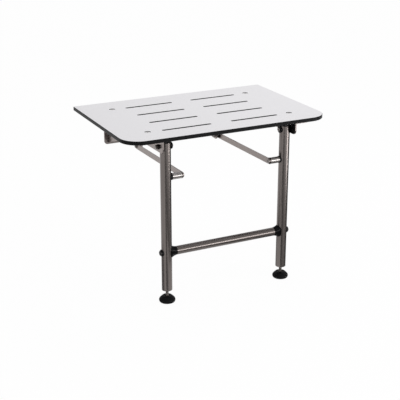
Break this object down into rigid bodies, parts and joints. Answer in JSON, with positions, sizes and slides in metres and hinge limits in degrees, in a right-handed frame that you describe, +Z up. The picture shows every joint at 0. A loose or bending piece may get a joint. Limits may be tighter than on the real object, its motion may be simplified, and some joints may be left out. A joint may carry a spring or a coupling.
{
  "type": "fold-up shower seat",
  "caption": "Wall-hung shower seat: slotted white laminate board on steel arms that folds up, with swing-down tube legs, a cross brace and black levelling feet.",
  "frame": {"origin": "middle of the wall bolt pattern of both brackets, on the wall face", "axes": "+X to the right seen from the front, +Y into the wall, +Z up; the seat's front faces -Y"},
  "size_m": [0.56, 0.39, 0.444],
  "materials": {
    "seat_laminate": "satin white compact laminate with a black core at its edges",
    "brushed_stainless": "brushed along the length",
    "bright_stainless": "turned and polished",
    "blackened_stainless": "turned and chemically blackened",
    "black_nylon": "moulded, slight sheen",
    "black_rubber": "moulded rubber, satin"
  },
  "bodies": {
    "wall_brackets": {"right_wall_bracket": "brushed_stainless", "left_wall_bracket": "brushed_stainless", "seat_hinge_bolts": "bright_stainless", "seat_hinge_nuts": "bright_stainless", "link_wall_bolts": "bright_stainless", "link_wall_nuts": "bright_stainless"},
    "seat": {"seat_board": "seat_laminate", "seat_screws": "bright_stainless", "seat_screw_washers": "bright_stainless", "seat_screw_nuts": "bright_stainless", "right_seat_arm": "brushed_stainless", "left_seat_arm": "brushed_stainless", "leg_wear_pads": "black_nylon", "leg_pivot_bushes": "black_nylon", "seat_hinge_bushes": "black_nylon"},
    "legs": {"right_leg_tube": "brushed_stainless", "left_leg_tube": "brushed_stainless", "leg_caps": "black_nylon", "leg_pivot_bolts": "bright_stainless", "leg_pivot_nuts": "bright_stainless", "leg_pivot_saddles": "black_nylon", "link_pin_saddles": "black_nylon", "link_pin_spacers": "bright_stainless", "link_pin_screws": "bright_stainless", "link_pin_inserts": "bright_stainless", "brace_tube": "brushed_stainless", "brace_plugs": "black_nylon", "brace_saddles": "black_nylon", "brace_bolts": "blackened_stainless", "brace_nuts": "blackened_stainless", "leg_end_plugs": "black_nylon"},
    "right_link": {"right_link_bar": "brushed_stainless", "right_link_front_bush": "black_nylon", "right_link_rear_bush": "black_nylon"},
    "right_foot": {"right_foot_stud": "bright_stainless"},
    "right_cup": {"right_foot_cup": "black_nylon"},
    "right_pad": {"right_foot_pad": "black_rubber"},
    "left_link": {"left_link_bar": "brushed_stainless", "left_link_front_bush": "black_nylon", "left_link_rear_bush": "black_nylon"},
    "left_foot": {"left_foot_stud": "bright_stainless"},
    "left_cup": {"left_foot_cup": "black_nylon"},
    "left_pad": {"left_foot_pad": "black_rubber"}
  },
  "joints": [
    {"name": "seat_fold", "type": "hinge", "parent": "wall_brackets", "child": "seat", "pos_m": [0, -0.068, 0.048], "axis": [-1, 0, 0], "range_deg": [0, 82]},
    {"name": "leg_fold", "type": "hinge", "parent": "seat", "child": "legs", "pos_m": [0, -0.355, 0.054], "axis": [-1, 0, 0], "range_deg": [-82, 0]},
    {"name": "right_link_swing", "type": "hinge", "parent": "wall_brackets", "child": "right_link", "pos_m": [0, -0.068, -0.032], "axis": [-1, 0, 0], "range_deg": [0, 82]},
    {"name": "right_foot_level", "type": "slide", "parent": "legs", "child": "right_foot", "axis": [0, 0, -1], "range_m": [-0.004, 0.012]},
    {"name": "right_foot_tilt_fore", "type": "hinge", "parent": "right_foot", "child": "right_cup", "pos_m": [0.1671, -0.355, -0.351], "axis": [1, 0, 0], "range_deg": [-8, 8]},
    {"name": "right_foot_tilt_side", "type": "hinge", "parent": "right_cup", "child": "right_pad", "pos_m": [0.1671, -0.355, -0.351], "axis": [0, 1, 0], "range_deg": [-8, 8]},
    {"name": "left_link_swing", "type": "hinge", "parent": "wall_brackets", "child": "left_link", "pos_m": [0, -0.068, -0.032], "axis": [-1, 0, 0], "range_deg": [0, 82]},
    {"name": "left_foot_level", "type": "slide", "parent": "legs", "child": "left_foot", "axis": [0, 0, -1], "range_m": [-0.004, 0.012]},
    {"name": "left_foot_tilt_fore", "type": "hinge", "parent": "left_foot", "child": "left_cup", "pos_m": [-0.1671, -0.355, -0.351], "axis": [1, 0, 0], "range_deg": [-8, 8]},
    {"name": "left_foot_tilt_side", "type": "hinge", "parent": "left_cup", "child": "left_pad", "pos_m": [-0.1671, -0.355, -0.351], "axis": [0, 1, 0], "range_deg": [-8, 8]}
  ],
  "couplings": [
    {"joint": "leg_fold", "follows": "seat_fold", "ratio": -1},
    {"joint": "right_link_swing", "follows": "seat_fold", "ratio": 1},
    {"joint": "left_link_swing", "follows": "seat_fold", "ratio": 1}
  ]
}
